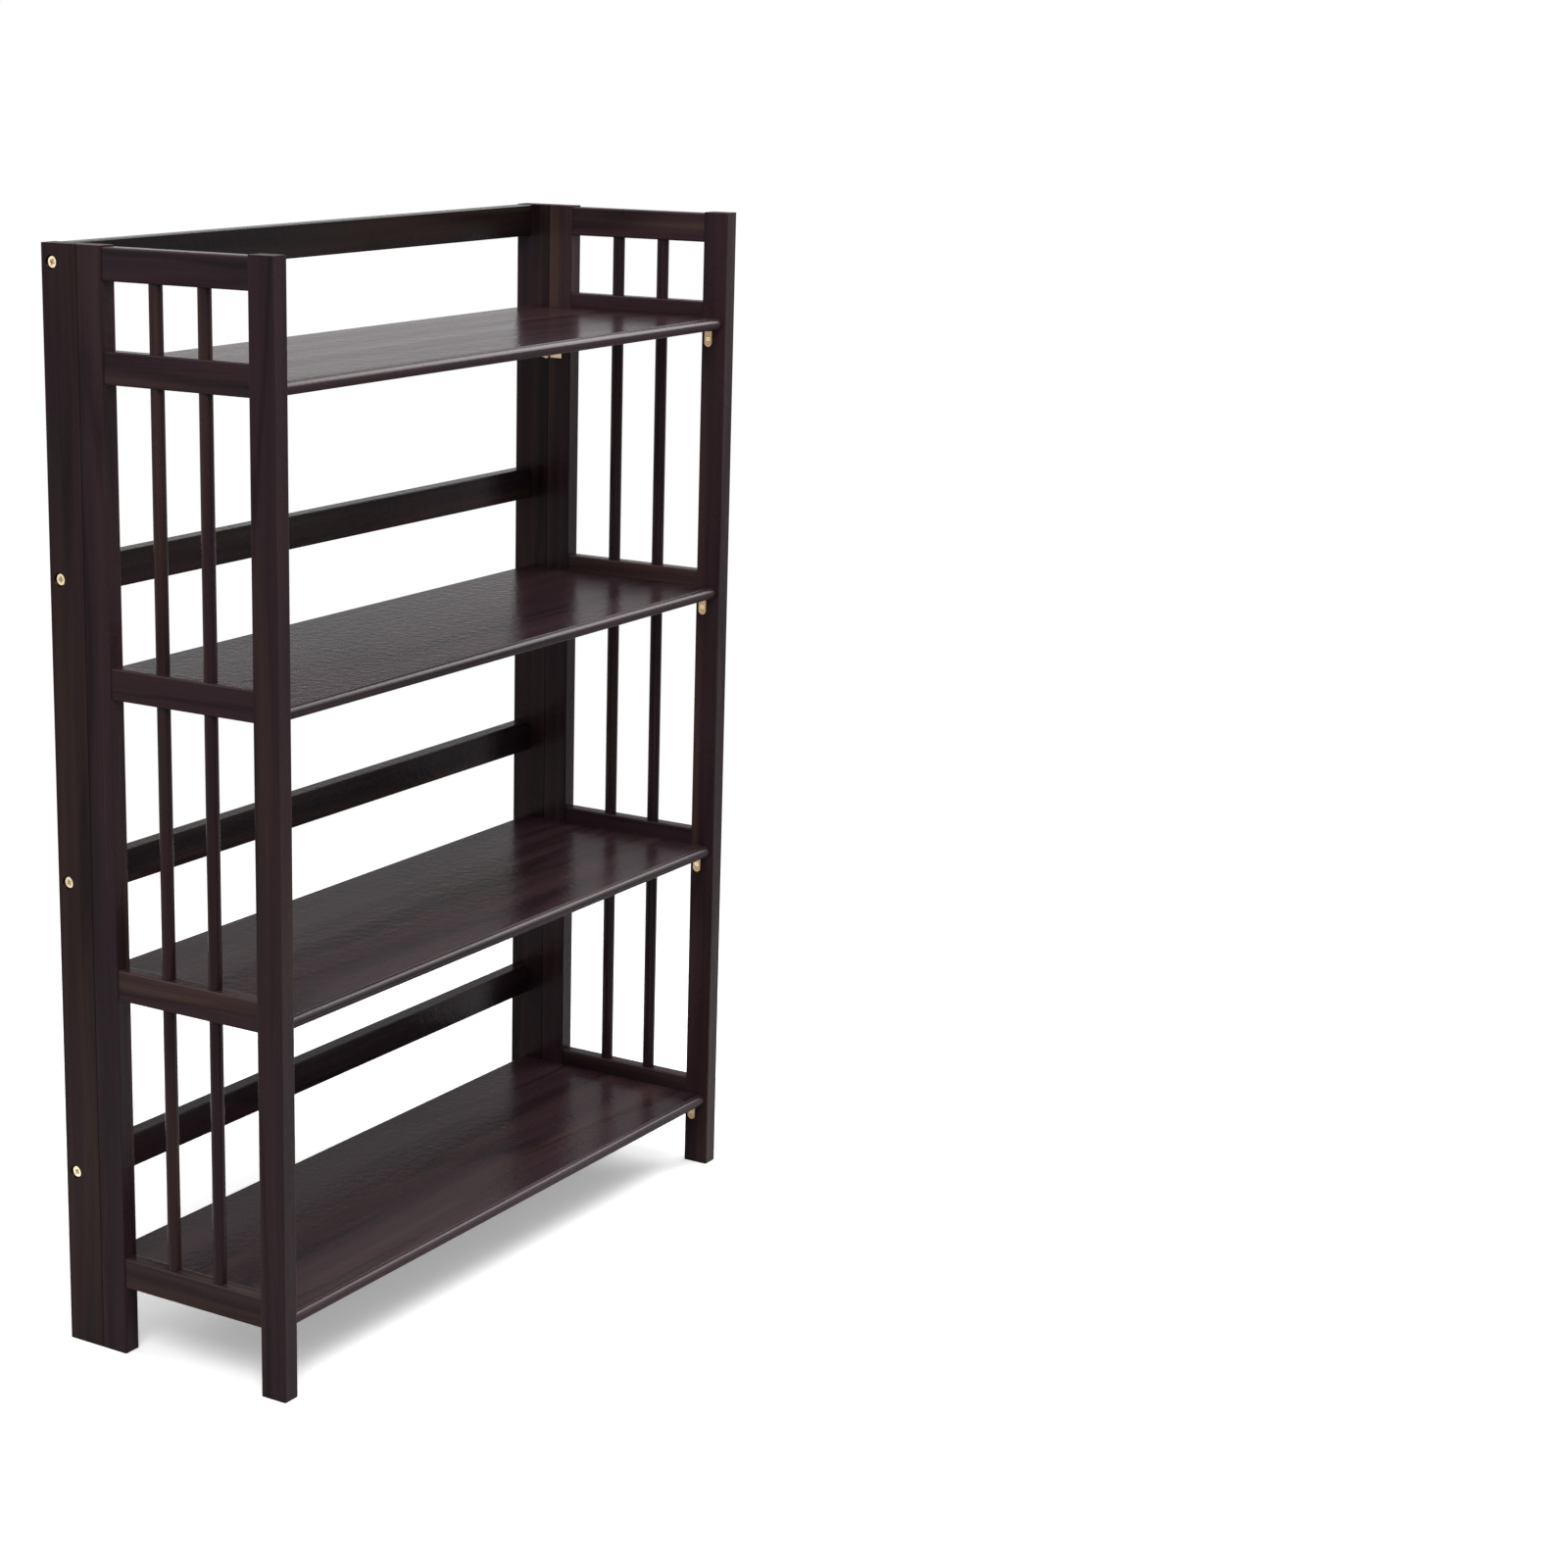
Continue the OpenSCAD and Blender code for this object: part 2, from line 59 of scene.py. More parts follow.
def makeCamera():
    yaw, pitch, roll = (math.radians(camera[k]) for k in ("yaw", "pitch", "roll"))
    ahead = np.array([math.sin(yaw) * math.cos(pitch), math.cos(yaw) * math.cos(pitch), math.sin(pitch)])
    level = np.array([math.cos(yaw), -math.sin(yaw), 0.0])
    above = np.cross(level, ahead)
    right = level * math.cos(roll) + above * math.sin(roll)
    up = above * math.cos(roll) - level * math.sin(roll)
    turn = Matrix(np.column_stack([right, up, -ahead]).tolist()).to_4x4()
    lens = bpy.data.cameras.new("photoCamera")
    lens.sensor_width = camera["sensor"]
    lens.lens = camera["focalPixels"] / camera["imagePixels"] * camera["sensor"]
    lens.shift_x = camera["shiftX"]
    lens.clip_start, lens.clip_end = camera["nearest"], camera["farthest"]
    seat = bpy.data.objects.new("photoCamera", lens)
    seat.matrix_world = Matrix.Translation(camera["place"]) @ turn
    bpy.context.scene.collection.objects.link(seat)
    bpy.context.scene.camera = seat


makeCamera()
print("camera set")


# Shader maths

colourA, colourB, mixedColour = 6, 7, 2  # numbers of a Mix node's colour sockets


class Wire:
    # An output socket in a node tree. Sums, differences and products of wires add Math nodes.

    def __init__(self, tree, socket=None):
        self.tree = tree
        self.socket = socket

    def node(self, kind, settings=None, values=None, out=0):
        # Adds a node: its settings first, then the values or links of its sockets by name or number
        made = self.tree.nodes.new(kind)
        for key, value in (settings or {}).items():
            setattr(made, key, value)
        for key, value in (values or {}).items():
            socket = made.inputs[key]
            if isinstance(value, Wire):
                self.tree.links.new(value.socket, socket)
            elif socket.type == "RGBA" and len(value) == 3:
                socket.default_value = (*value, 1)
            else:
                socket.default_value = value
        return Wire(self.tree, made.outputs[out])

    def maths(self, operation, *terms):
        return self.node("ShaderNodeMath", {"operation": operation}, dict(enumerate(terms)))

    def __add__(self, other):
        return self.maths("ADD", self, other)

    def __radd__(self, other):
        return self.maths("ADD", other, self)

    def __sub__(self, other):
        return self.maths("SUBTRACT", self, other)

    def __rsub__(self, other):
        return self.maths("SUBTRACT", other, self)

    def __mul__(self, other):
        return self.maths("MULTIPLY", self, other)

    def __rmul__(self, other):
        return self.maths("MULTIPLY", other, self)

    def __abs__(self):
        return self.maths("ABSOLUTE", self)

    def step(self, low, high):
        # 0 at low, 1 at high and smooth between
        return self.node("ShaderNodeMapRange", {"interpolation_type": "SMOOTHSTEP"},
                         {"Value": self, "From Min": low, "From Max": high})

    def part(self, axis):
        # One component of a vector
        return self.node("ShaderNodeSeparateXYZ", None, {"Vector": self}, axis.upper())

    def grey(self):
        # A colour with this level in all three channels
        return self.node("ShaderNodeCombineColor", None, {"Red": self, "Green": self, "Blue": self})

    def mixColour(self, first, second):
        # first where this wire is 0 and second where it is 1
        return self.node("ShaderNodeMix", {"data_type": "RGBA"},
                         {0: self, colourA: first, colourB: second}, mixedColour)

    def dimmed(self, level):
        # This colour times a level
        return self.node("ShaderNodeMix", {"data_type": "RGBA", "blend_type": "MULTIPLY"},
                         {0: 1.0, colourA: self, colourB: level.grey()}, mixedColour)


def newMaterial(name):
    # An empty node material, its tree as a wire, and its output node
    material = bpy.data.materials.new(name)
    material.use_nodes = True
    tree = material.node_tree
    tree.nodes.clear()
    output = tree.nodes.new("ShaderNodeOutputMaterial")
    return material, Wire(tree), output


def finishSurface(tree, output, constants, varying):
    # A Principled BSDF with constants on its own sockets and links for what varies
    surface = tree.node("ShaderNodeBsdfPrincipled", None, {**constants, **varying})
    tree.tree.links.new(surface.socket, output.inputs["Surface"])


def coordinates(tree, kind):
    return tree.node("ShaderNodeTexCoord", out=kind)


def rays(tree, *kinds):
    # 1 for rays of these kinds and 0 for others: Light Path's Is Camera Ray, Is Glossy Ray and the like
    return sum(tree.node("ShaderNodeLightPath", out=f"Is {kind} Ray") for kind in kinds)


def noise(tree, vector, scale=1.0, detail=2.0, rough=0.5, out="Fac"):
    return tree.node("ShaderNodeTexNoise", {"noise_dimensions": "3D"},
                     {"Vector": vector, "Scale": scale, "Detail": detail, "Roughness": rough}, out)


# Stained wood. Colours are linear. The stain hides most of the figure and leaves slow bands, flowing
# growth lines and fine streaks. A pair that ends in From gives the level of a noise or slope at which
# something starts and the one at which it is full.

wood = {
    "plum": (0.0258, 0.0130, 0.0163),
    "black": (0.0160, 0.0102, 0.0130),
    "brown": (0.0470, 0.0270, 0.0220),
    "wine": (0.0316, 0.0148, 0.0182),
    "streak": (0.0620, 0.0375, 0.0275),
    "brownFrom": (0.46, 0.70),
    "wineFrom": (0.48, 0.70), "wineShare": 0.8,
    "blackFrom": (0.46, 0.68), "blackShare": 0.35,
    "blackFigure": 0.55,  # and this much more where the figure shows in full
    "streakFrom": (0.56, 0.78), "streakShare": 0.22,
    "shelfFigure": 0.35,  # how much of the bands and streaks shows on the shelves
    "lineFrom": (0.60, 0.40), "lineShade": 0.14,
    "poreFrom": (0.68, 0.76), "poreShade": 0.30,
    "ringFrom": (0.55, 1.0), "ringShade": 0.34,
    "rings": 4.5,  # growth lines from the lowest to the highest of the figure
    "endFrom": (0.80, 0.95), "endShade": 0.75, "endRoughness": 0.12,  # end grain
    "roughness": 0.24, "roughnessSpread": 0.08,
    "underFrom": (0.0, -0.35), "underRoughness": 0.34,  # more on the undersides, which get less lacquer
    "specular": 0.055,
    "edgeFrom": (0.15, 0.45), "flatFrom": (0.995, 0.96),  # lacquer gathers on the rounded upper edges
    "edgeCoat": 0.55, "edgeRoughness": 0.36,
    "wander": 0.020,  # metres that the grain strays from straight
    "peelSize": 90.0, "peelDetail": 3.0, "peelRough": 0.6,  # waves of the lacquer a metre
    "peelHeight": 0.00052,  # metres
    "lineHeight": 0.000012,
    "plankReach": 20,  # each piece reads the noises from a place within this distance
}

# Marks in the wood: how often they repeat a metre along the grain and across it, their detail and their
# roughness
marks = {
    "wander": (2.6, 9.0, 2.5, 0.5),
    "brown": (0.8, 27.0, 2.0, 0.5),
    "wine": (1.0, 44.0, 2.0, 0.5),
    "black": (0.9, 24.0, 2.0, 0.5),
    "figure": (1.1, 15.0, 1.5, 0.45),
    "streak": (1.6, 105.0, 2.0, 0.5),
    "line": (4.0, 520.0, 3.0, 0.65),
    "pore": (110.0, 2400.0, 1.0, 0.5),
}

# Painted shade: posts and rear stiles are darker along the seam where a post meets its side frame, for the
# shade in the narrow gap there.
seam = {"y": 0.110, "dark": 0.0006, "clear": 0.0013, "shade": 0.35}

# Painted shade: round a back rail's screw, the post's wood in and at the bore is darkened for the shadow in
# the counterbore.
bore = {"y": 0.1465, "lowest": 0.21075, "pitch": 0.3505, "dark": 0.0078, "clear": 0.0084, "shade": 0.10}


def grainNoise(tree, place, grain, mark, offset, out="Fac"):
    # Noise drawn out along the grain's axis and moved to another part of the plank
    along, across, detail, rough = marks[mark]
    scale = [across, across, across]
    scale["xyz".index(grain)] = along
    drawn = tree.node("ShaderNodeMapping", None, {"Vector": place, "Location": offset, "Scale": scale})
    return noise(tree, drawn, detail=detail, rough=rough, out=out)


def screwReach(tree, place):
    # How far a point lies from the axis of the nearest back rail screw
    across = place.part("y") - bore["y"]
    up = tree.maths("WRAP", place.part("z") - bore["lowest"], bore["pitch"] / 2, -bore["pitch"] / 2)
    return tree.maths("POWER", across * across + up * up, 0.5)


def stainedWood(name, grain, seed, tone):
    material, tree, output = newMaterial(name)
    draw = np.random.default_rng(seed)
    offset = tuple(float(v) for v in draw.uniform(-wood["plankReach"], wood["plankReach"], 3))
    turned = offset[1:] + offset[:1]
    place = coordinates(tree, "Object")
    normal = coordinates(tree, "Normal")
    sway = grainNoise(tree, place, grain, "wander", offset, "Color")
    swayed = tree.node("ShaderNodeVectorMath", {"operation": "MULTIPLY_ADD"},
                       {0: sway, 1: (wood["wander"],) * 3, 2: place})
    brown = grainNoise(tree, swayed, grain, "brown", offset)
    wine = grainNoise(tree, swayed, grain, "wine", turned)
    black = grainNoise(tree, swayed, grain, "black", turned[::-1])
    figure = grainNoise(tree, swayed, grain, "figure", turned)
    streaks = grainNoise(tree, swayed, grain, "streak", offset[::-1])
    lines = grainNoise(tree, swayed, grain, "line", offset)
    pores = grainNoise(tree, place, grain, "pore", offset)

    # Colour: bands over plum, then what darkens it
    stains = ("plum", "black", "brown", "wine", "streak")
    # tone includes painted light and shade on some kinds of piece
    tints = {stain: tuple(c * tone for c in wood[stain]) for stain in stains}
    share = wood["shelfFigure"] if "shelf" in name else 1.0
    blackShare = wood["blackShare"] + wood["blackFigure"] * share
    colour = (brown.step(*wood["brownFrom"]) * share).mixColour(tints["plum"], tints["brown"])
    colour = (wine.step(*wood["wineFrom"]) * wood["wineShare"] * share).mixColour(colour, tints["wine"])
    colour = (black.step(*wood["blackFrom"]) * blackShare).mixColour(colour, tints["black"])
    streakShare = streaks.step(*wood["streakFrom"]) * wood["streakShare"] * share
    colour = streakShare.mixColour(colour, tints["streak"])
    ring = tree.maths("PINGPONG", figure * wood["rings"], 0.5) * 2
    dark = lines.step(*wood["lineFrom"]) * wood["lineShade"]
    dark = dark + pores.step(*wood["poreFrom"]) * wood["poreShade"]
    dark = dark + ring.step(*wood["ringFrom"]) * wood["ringShade"]
    endGrain = abs(normal.part(grain)).step(*wood["endFrom"])
    light = (1 - dark) * (1 - endGrain * (1 - wood["endShade"]))
    # Painted shade along the seam
    if name.endswith(("post", "rear_stile")):
        aside = abs(place.part("y") - seam["y"])
        light = light * (1 - aside.step(seam["clear"], seam["dark"]) * (1 - seam["shade"]))
    # Painted shade in and round the bore of each back rail screw
    if name.endswith("post"):
        inBore = screwReach(tree, place).step(bore["clear"], bore["dark"])
        light = light * (1 - inBore * (1 - bore["shade"]))

    # Lacquer
    rise = normal.part("z")
    under = rise.step(*wood["underFrom"])
    roughness = wood["roughness"] + (brown - 0.5) * wood["roughnessSpread"]
    roughness = roughness + endGrain * wood["endRoughness"]
    roughness = roughness + under * wood["underRoughness"]
    peel = noise(tree, place, wood["peelSize"], wood["peelDetail"], wood["peelRough"])
    height = peel * wood["peelHeight"] + lines * wood["lineHeight"]
    bump = tree.node("ShaderNodeBump", None, {"Strength": 1.0, "Distance": 1.0, "Height": height})
    coat = rise.step(*wood["edgeFrom"]) * rise.step(*wood["flatFrom"]) * wood["edgeCoat"]
    finishSurface(tree, output,
                  {"Specular IOR Level": wood["specular"], "Coat Roughness": wood["edgeRoughness"]},
                  {"Base Color": colour.dimmed(light), "Roughness": roughness,
                   "Coat Weight": coat, "Normal": bump})
    return material


# Metals. A screw head's middle is darker where "centre" is given, because its cross lies in shade.

screwBrass = {"colour": (0.90, 0.74, 0.48), "roughness": 0.22, "spread": 0.10}
metals = {
    "screwBrass": screwBrass,
    "screwBrassCentred": {**screwBrass, "centre": 0.60},
    "hookBrass": {"colour": (0.60, 0.42, 0.24), "roughness": 0.38, "spread": 0.14},
    "hingeBrass": {"colour": (0.52, 0.40, 0.26), "roughness": 0.32, "spread": 0.12},
    "pinSteel": {"colour": (0.56, 0.56, 0.57), "roughness": 0.30, "spread": 0.10},
}
tarnishAndPaintedShade = {
    "size": 160.0, "detail": 3.0, "rough": 0.6,  # clouds a metre
    "from": (0.35, 0.7), "share": 0.5, "shade": 0.8,
    "fineSize": 2200.0, "fineDetail": 2.0, "fineRough": 0.5, "fineSpread": 0.06,
    "bump": 0.3, "bumpHeight": 0.00002,
    # Painted shade in the middle of a screw head, for its cross recess: full within centreDark of the axis,
    # gone beyond centreClear
    "centreDark": 0.0018, "centreClear": 0.0046,  # metres from the screw's axis
}


def metal(name):
    finish = metals[name]
    material, tree, output = newMaterial(name)
    place = coordinates(tree, "Object")
    cloud = noise(tree, place, tarnishAndPaintedShade["size"], tarnishAndPaintedShade["detail"], tarnishAndPaintedShade["rough"])
    fine = noise(tree, place, tarnishAndPaintedShade["fineSize"], tarnishAndPaintedShade["fineDetail"], tarnishAndPaintedShade["fineRough"])
    dull = [c * tarnishAndPaintedShade["shade"] for c in finish["colour"]]
    colour = (cloud.step(*tarnishAndPaintedShade["from"]) * tarnishAndPaintedShade["share"]).mixColour(finish["colour"], dull)
    # Painted shade: the head's middle is darkened for the shade in its cross recess
    if "centre" in finish:
        middle = screwReach(tree, place).step(tarnishAndPaintedShade["centreClear"], tarnishAndPaintedShade["centreDark"])
        colour = middle.mixColour(colour, [c * finish["centre"] for c in finish["colour"]])
    roughness = finish["roughness"] + (cloud - 0.5) * finish["spread"]
    roughness = roughness + (fine - 0.5) * tarnishAndPaintedShade["fineSpread"]
    bump = tree.node("ShaderNodeBump", None,
                     {"Strength": tarnishAndPaintedShade["bump"], "Distance": tarnishAndPaintedShade["bumpHeight"], "Height": fine})
    finishSurface(tree, output, {"Metallic": 1.0},
                  {"Base Color": colour, "Roughness": roughness, "Normal": bump})
    return material


madeMetals = {}


def sharedMetal(name):
    if name not in madeMetals:
        madeMetals[name] = metal(name)
    return madeMetals[name]


# Screws: a flat head with a cross recess, a threaded shank and a point

railScrew = {
    "finish": "screwBrassCentred", "headD": 0.0136, "shankD": 0.005, "length": 0.048,
    "threadPitch": 0.0024, "threadDepth": 0.0006, "around": 96, "headRings": 40, "turnRows": 8,
}
smallScrew = {
    "finish": "screwBrass", "headD": 0.006, "shankD": 0.0028, "length": 0.014,
    "threadPitch": 0.0012, "threadDepth": 0.00035, "around": 48, "headRings": 22, "turnRows": 6,
}
screwShape = {
    "coneRate": 0.45,  # depth of the cone under the head by the difference of the diameters
    "armReach": 0.28, "armHalfWidth": 0.065, "recessDepth": 0.14, "recessEase": 0.02,  # shares of the head
    "endEase": 4,  # an arm's end slopes this much longer than its walls
    "crownPower": 0.9,  # below 1, the head's rings lie closer together near its edge
    "edgeRound": 0.12, "edgeDrop": 0.4, "edgeRings": 4, "coneRings": 5,
    "ridgeHalfWidth": 0.32, "runIn": 3,  # in pitches
    "point": 0.12,  # thickness left at the tip
    "firstTurn": 0.4,
    "turnStep": 1.1,  # radians between one cross and the next
}


def rowsFrom(start, end, rows):
    # Values after start up to end, as a column
    return np.linspace(start, end, rows + 1)[1:, None]


def screwGrid(kind):
    # Rings round the Z axis, the head's plane at z 0 and the shank upwards. Radius and height are functions
    # of the place along the outline and the angle a: the head is z = 0 with the cross sunk into it and a
    # rounded edge, the cone runs straight to the shank, and the thread is a ridge at
    # z = pitch * (a / 2 pi + whole turns).
    shape = screwShape
    headR, shankR = kind["headD"] / 2, kind["shankD"] / 2
    cone = (kind["headD"] - kind["shankD"]) * shape["coneRate"]
    angle = np.linspace(0, 2 * np.pi, kind["around"], endpoint=False)
    inner = headR * (1 - shape["edgeRound"])
    edge = headR - inner
    edgeEnd = edge * shape["edgeDrop"]
    radius = np.repeat(rowsFrom(0, 1, kind["headRings"]) ** shape["crownPower"] * inner, kind["around"], 1)
    across, along = radius * np.cos(angle), radius * np.sin(angle)
    height = np.maximum(crossDepth(across, along, kind["headD"]), crossDepth(along, across, kind["headD"]))
    bend = rowsFrom(0, np.pi / 2, shape["edgeRings"])
    edgeR = np.repeat(inner + edge * np.sin(bend), kind["around"], 1)
    edgeZ = np.repeat(edgeEnd * (1 - np.cos(bend)), kind["around"], 1)
    coneZ = np.repeat(rowsFrom(edgeEnd, cone, shape["coneRings"]), kind["around"], 1)
    coneR = headR + (shankR - headR) * (coneZ - edgeEnd) / (cone - edgeEnd)
    rows = int(round((kind["length"] - cone) / kind["threadPitch"] * kind["turnRows"]))
    shankZ = np.repeat(rowsFrom(cone, kind["length"], rows), kind["around"], 1)
    phase = (shankZ / kind["threadPitch"] - angle / (2 * np.pi)) % 1.0
    ridge = np.clip(1 - np.abs(phase - 0.5) / shape["ridgeHalfWidth"], 0, 1)
    starts = np.clip((shankZ - cone) / (shape["runIn"] * kind["threadPitch"]), 0, 1)
    taper = np.clip((kind["length"] - shankZ) / kind["shankD"], 0, 1)
    thick = shape["point"] + (1 - shape["point"]) * taper
    threadR = (shankR - kind["threadDepth"] * (1 - ridge) * starts) * thick
    r = np.concatenate([radius, edgeR, coneR, threadR])
    z = np.concatenate([height, edgeZ, coneZ, shankZ])
    return r * np.cos(angle), r * np.sin(angle), z


def crossDepth(along, across, headD):
    # One arm of the cross: deepest on its middle line, with sloping walls and an end that eases out
    shape = screwShape
    reach, half, ease = (shape[k] * headD for k in ("armReach", "armHalfWidth", "recessEase"))
    wall = np.clip((half - np.abs(across)) / ease, 0, 1)
    end = np.clip((reach - np.abs(along)) / (ease * shape["endEase"]), 0, 1)
    return shape["recessDepth"] * headD * wall * end * (3 - 2 * end) * end


def addScrews(name, kind, places, replaced):
    # The same grid at each place, turned so that its shank points along X by the place's last number, as
    # one mesh
    x, y, z = screwGrid(kind)
    rings, around = x.shape
    ring, step = np.meshgrid(np.arange(rings - 1) * around, np.arange(around), indexing="ij")
    after = (step + 1) % around
    corners = [ring + step, ring + after, ring + around + after, ring + around + step]
    quads = np.stack(corners, -1).reshape(-1, 4)
    point, centre = rings * around, rings * around + 1
    here = np.arange(around)
    nextOne = (here + 1) % around
    last = (rings - 1) * around
    tip = np.stack([last + here, last + nextOne, np.full(around, point)], -1)
    middle = np.stack([np.full(around, centre), nextOne, here], -1)
    localX = np.append(x.ravel(), (0, 0))
    localY = np.append(y.ravel(), (0, 0))
    localZ = np.append(z.ravel(), (z[-1, 0], z[0].mean()))
    points, faces = [], []
    for number, (px, py, pz, way) in enumerate(places):
        turn = screwShape["firstTurn"] + screwShape["turnStep"] * number
        spunX = localX * math.cos(turn) - localY * math.sin(turn)
        spunY = localX * math.sin(turn) + localY * math.cos(turn)
        points.append(np.stack([px + way * localZ, py + way * spunX, pz + spunY], -1))
        for part in (quads, tip, middle):
            faces += (part + number * (centre + 1)).tolist()
    mesh = bpy.data.meshes.new(name)
    mesh.from_pydata(np.concatenate(points).tolist(), [], faces)
    mesh.polygons.foreach_set("use_smooth", np.ones(len(faces), dtype=bool))
    mesh.materials.append(sharedMetal(kind["finish"]))
    piece = bpy.data.objects.new(name, mesh)
    bpy.context.scene.collection.objects.link(piece)
    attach(piece, "frame")
    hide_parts(*replaced)


# Where the screws sit, in metres. X is the plane of the heads.
screwSpots = {
    "railX": 0.475, "railY": 0.1465, "railZ": (1.26225, 0.91175, 0.56125, 0.21075),
    "hookX": 0.4525, "hookY": -0.137, "hookZ": (1.12255, 0.77205, 0.42155, 0.07105),
    "leafX": 0.4524, "leafY": 0.0128,  # from the seam
    "hingeZ": (1.10225, 0.75175, 0.05075), "leafZ": 0.011,  # from the hinge's middle
}


def placeScrews():
    spot = screwSpots
    rail = [(sign * spot["railX"], spot["railY"], z, -sign) for sign in (-1, 1) for z in spot["railZ"]]
    addScrews("backRailScrews", railScrew, rail, ["back_rail_screws"])
    for side, sign in (("left", -1), ("right", 1)):
        hook = [(sign * spot["hookX"], spot["hookY"], z, sign) for z in spot["hookZ"]]
        addScrews(side + "HookScrews", smallScrew, hook, [side + "_hook_screws"])
        for leaf, way in (("Post", 1), ("Frame", -1)):
            leafY = seam["y"] + way * spot["leafY"]
            places = [(sign * spot["leafX"], leafY, z + up * spot["leafZ"], sign)
                      for z in spot["hingeZ"] for up in (1, -1)]
            addScrews(f"{side}{leaf}LeafScrews", smallScrew, places, [f"{side}_{leaf.lower()}_leaf_screws"])


placeScrews()
print("screws made")


# Which finish each CAD node has. The grain runs along the piece.

grainOf = {}
for side in ("left", "right"):
    for part in ("post", "rear_stile", "front_stile", "rear_dowel", "front_dowel"):
        grainOf[f"{side}_{part}"] = "z"
    for part in ("top_rail", "rail_1", "rail_2", "rail_3", "rail_4"):
        grainOf[f"{side}_{part}"] = "y"
for number in (1, 2, 3, 4):
    grainOf[f"back_rail_{number}"] = "x"
    grainOf[f"shelf_{number}"] = "x"

# How light each kind of piece is made, and by how much two of a kind differ at random. The first name
# that fits a piece counts. Beside the stain's own tone this holds painted light and shade: the lower
# shelves and back rails are made lighter where little lamp light reaches them, and the top back rail darker
# where the lamps light it strongly.
tonesWithPaintedLight = {
    "post": 0.80, "rear_stile": 1.24, "front_stile": 1.06, "dowel": 1.00, "top_rail": 1.28,
    "back_rail_1": 0.42, "back_rail": 1.26, "rail": 1.24,
    "shelf_4": 1.45, "shelf_3": 1.34, "shelf": 1.22,
}
toneSpread = 0.05
firstToneSeed = 1000


def toneOf(name, seed):
    kind = next(kind for kind in tonesWithPaintedLight if kind in name)
    draw = np.random.default_rng(firstToneSeed + seed)
    return tonesWithPaintedLight[kind] * (1 + float(draw.uniform(-toneSpread, toneSpread)))


def finishOf(name, seed):
    if name in grainOf:
        return stainedWood("wood_" + name, grainOf[name], seed, toneOf(name, seed))
    if name.endswith("screws"):
        return sharedMetal("screwBrass")
    if name.endswith("hooks"):
        return sharedMetal("hookBrass")
    if name.endswith("pivots"):
        return sharedMetal("pinSteel")
    return sharedMetal("hingeBrass")


for seed, (name, node) in enumerate(sorted(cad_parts.items())):
    finish = finishOf(name, seed)
    node.data.materials.clear()
    node.data.materials.append(finish)
print("finishes given")


# Floor, world and lamps

studio = {
    "floorSize": 9.0,  # metres from the middle to an edge
    "floorColour": 0.30,  # for the light that the floor throws back on the object
    "floorSeen": 1.53,  # for the camera and for reflections, before the shadow
    "floorLift": 0.27,  # share of plain white, which lightens the shadow
    "fadeFrom": 1.0,  # metres from the middle at which the floor starts to turn plain white
    "fadeTo": 2.3,
    "worldLight": 0.52,
    # The reflected sky: white at the horizon, then a dim band, then lighter above. Heights are sines.
    "horizon": 1.25,
    "horizonTop": 0.08,
    "band": 0.33,
    "bandAt": 0.20,
    "upper": 0.62,
    "upperFrom": 0.36,
}


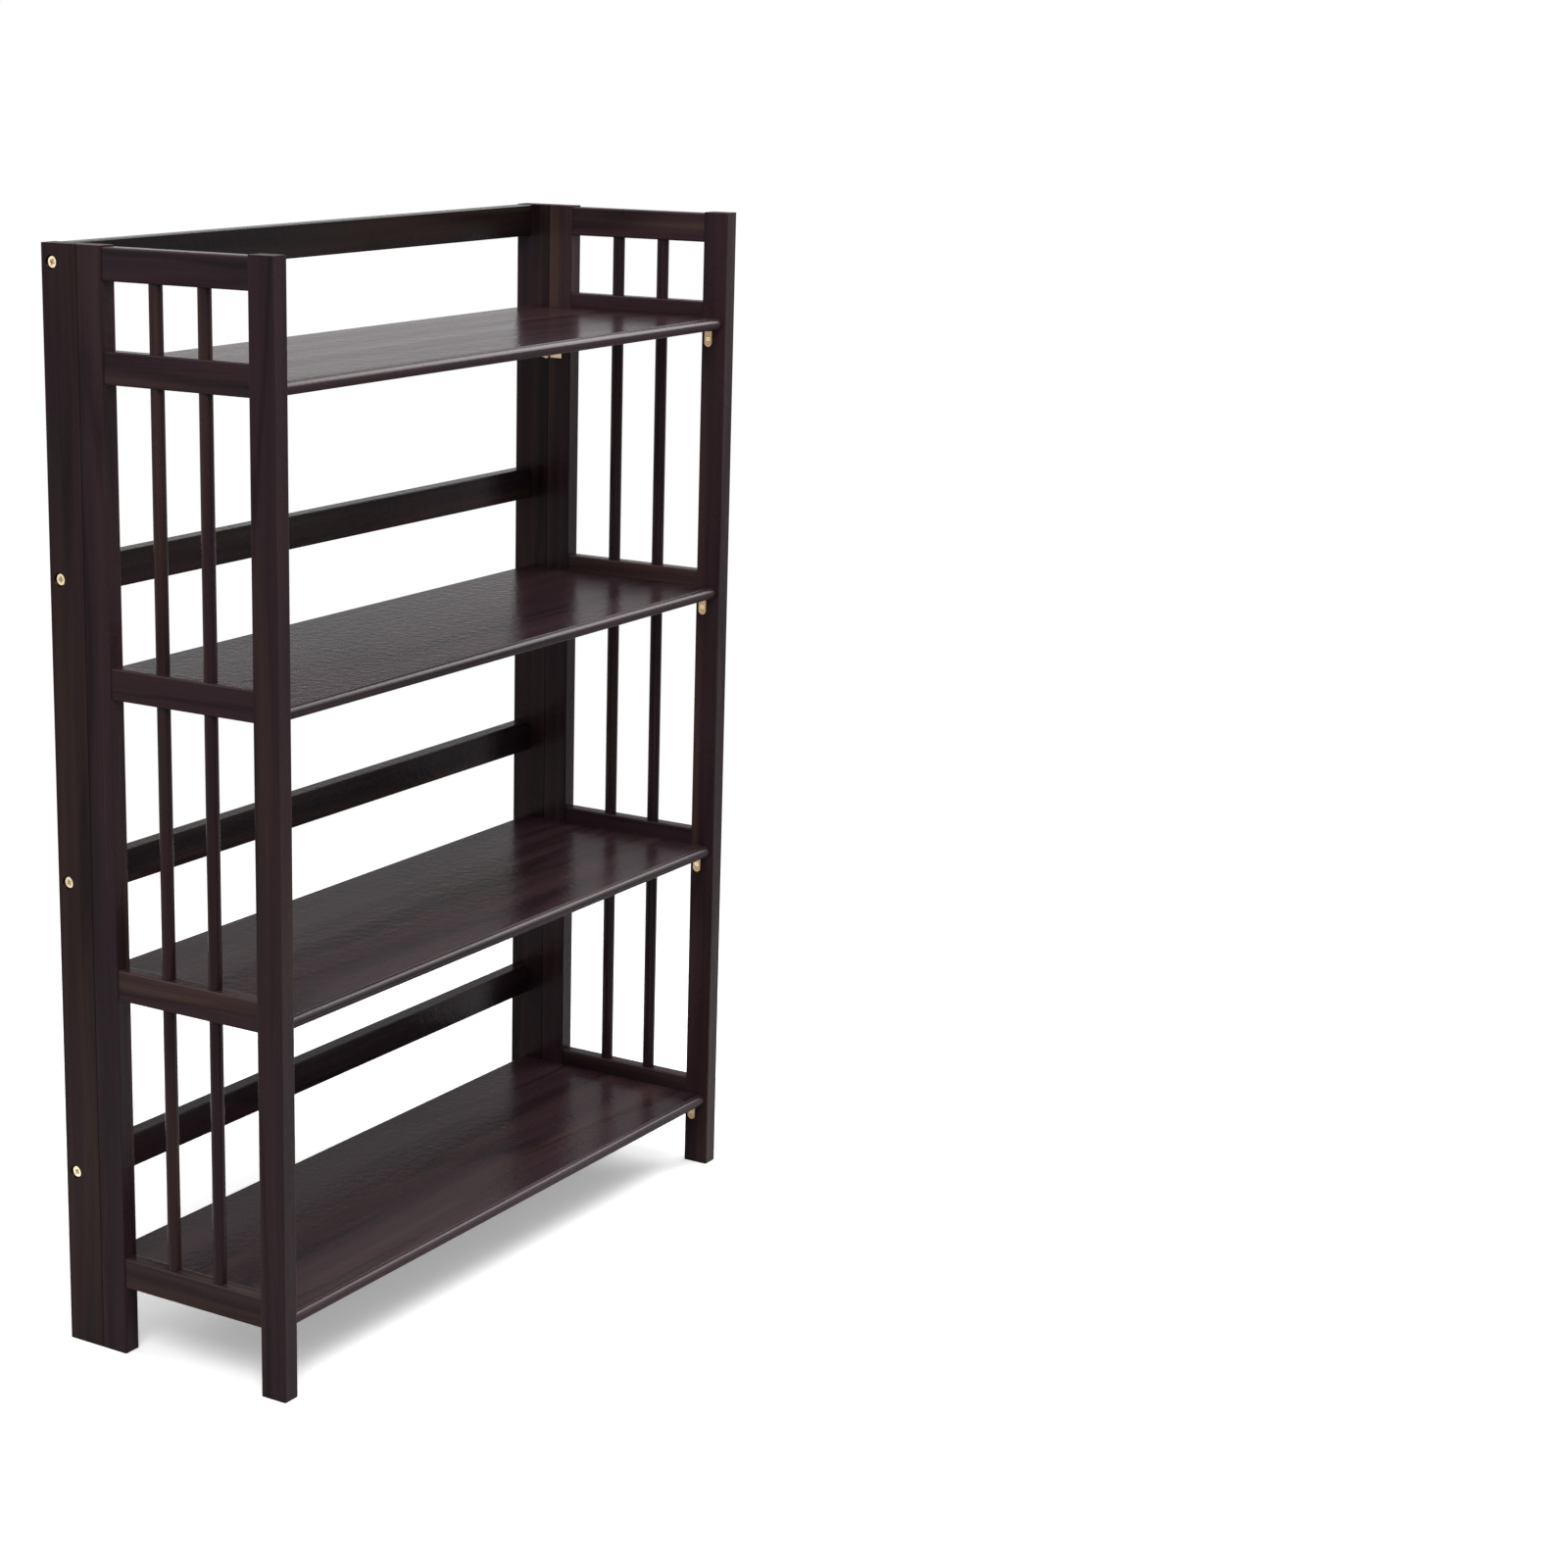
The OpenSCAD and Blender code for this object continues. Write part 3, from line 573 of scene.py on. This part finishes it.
def makeFloor():
    half = studio["floorSize"]
    mesh = bpy.data.meshes.new("floor")
    corners = [(-half, -half, 0), (half, -half, 0), (half, half, 0), (-half, half, 0)]
    mesh.from_pydata(corners, [], [(0, 1, 2, 3)])
    floor = bpy.data.objects.new("floor", mesh)
    bpy.context.scene.collection.objects.link(floor)
    material, tree, output = newMaterial("floorWhite")
    seen = rays(tree, "Camera", "Glossy", "Transmission")
    place = coordinates(tree, "Object")
    distance = tree.node("ShaderNodeVectorMath", {"operation": "LENGTH"}, {0: place}, "Value")
    level = studio["floorColour"] + seen * (studio["floorSeen"] - studio["floorColour"])
    matt = tree.node("ShaderNodeBsdfDiffuse", None, {"Color": level.grey()})
    white = tree.node("ShaderNodeEmission", None, {"Color": (1, 1, 1), "Strength": 1.0})
    lift = studio["floorLift"]
    far = (lift + distance.step(studio["fadeFrom"], studio["fadeTo"]) * (1 - lift)) * seen
    both = tree.node("ShaderNodeMixShader", None, {0: far, 1: matt, 2: white})
    tree.tree.links.new(both.socket, output.inputs["Surface"])
    mesh.materials.append(material)


def makeWorld():
    world = bpy.data.worlds.new("studio")
    bpy.context.scene.world = world
    world.use_nodes = True
    world.node_tree.nodes.clear()
    tree = Wire(world.node_tree)
    output = world.node_tree.nodes.new("ShaderNodeOutputWorld")
    seen = rays(tree, "Camera", "Transmission")
    glossy = rays(tree, "Glossy")
    height = coordinates(tree, "Generated").part("z")  # in a world, the direction looked in
    dim = height.step(studio["horizonTop"], studio["bandAt"]) * (studio["horizon"] - studio["band"])
    rise = height.step(studio["bandAt"], studio["upperFrom"]) * (studio["upper"] - studio["band"])
    sky = studio["horizon"] - dim + rise
    lit = studio["worldLight"] * (1 - glossy) + glossy * sky
    strength = seen + (1 - seen) * lit
    background = tree.node("ShaderNodeBackground", None, {"Color": (1, 1, 1), "Strength": strength})
    tree.tree.links.new(background.socket, output.inputs["Surface"])


lamps = {
    "key": {"place": (-2.7, -1.5, 3.5), "size": 2.2, "power": 100},
    "top": {"place": (0.0, -1.2, 3.8), "size": 2.6, "power": 45},
    "fill": {"place": (3.0, -0.9, 2.8), "size": 2.2, "power": 75},
    "rear": {"place": (-0.6, 3.4, 2.4), "size": 2.2, "power": 26},
}
lampAim = (0.0, 0.0, 0.6)


def makeLamp(name):
    settings = lamps[name]
    light = bpy.data.lights.new(name, "AREA")
    light.shape = "SQUARE"
    light.size = settings["size"]
    light.energy = settings["power"]
    lamp = bpy.data.objects.new(name, light)
    bpy.context.scene.collection.objects.link(lamp)
    away = np.array(settings["place"]) - np.array(lampAim)
    away = away / np.linalg.norm(away)
    across = np.cross((0, 0, 1), away)
    across = across / np.linalg.norm(across)
    turn = Matrix(np.column_stack([across, np.cross(away, across), away]).tolist()).to_4x4()
    lamp.matrix_world = Matrix.Translation(settings["place"]) @ turn


makeFloor()
makeWorld()
for name in lamps:
    makeLamp(name)
bpy.context.scene.view_settings.view_transform = "Standard"
print("studio made")
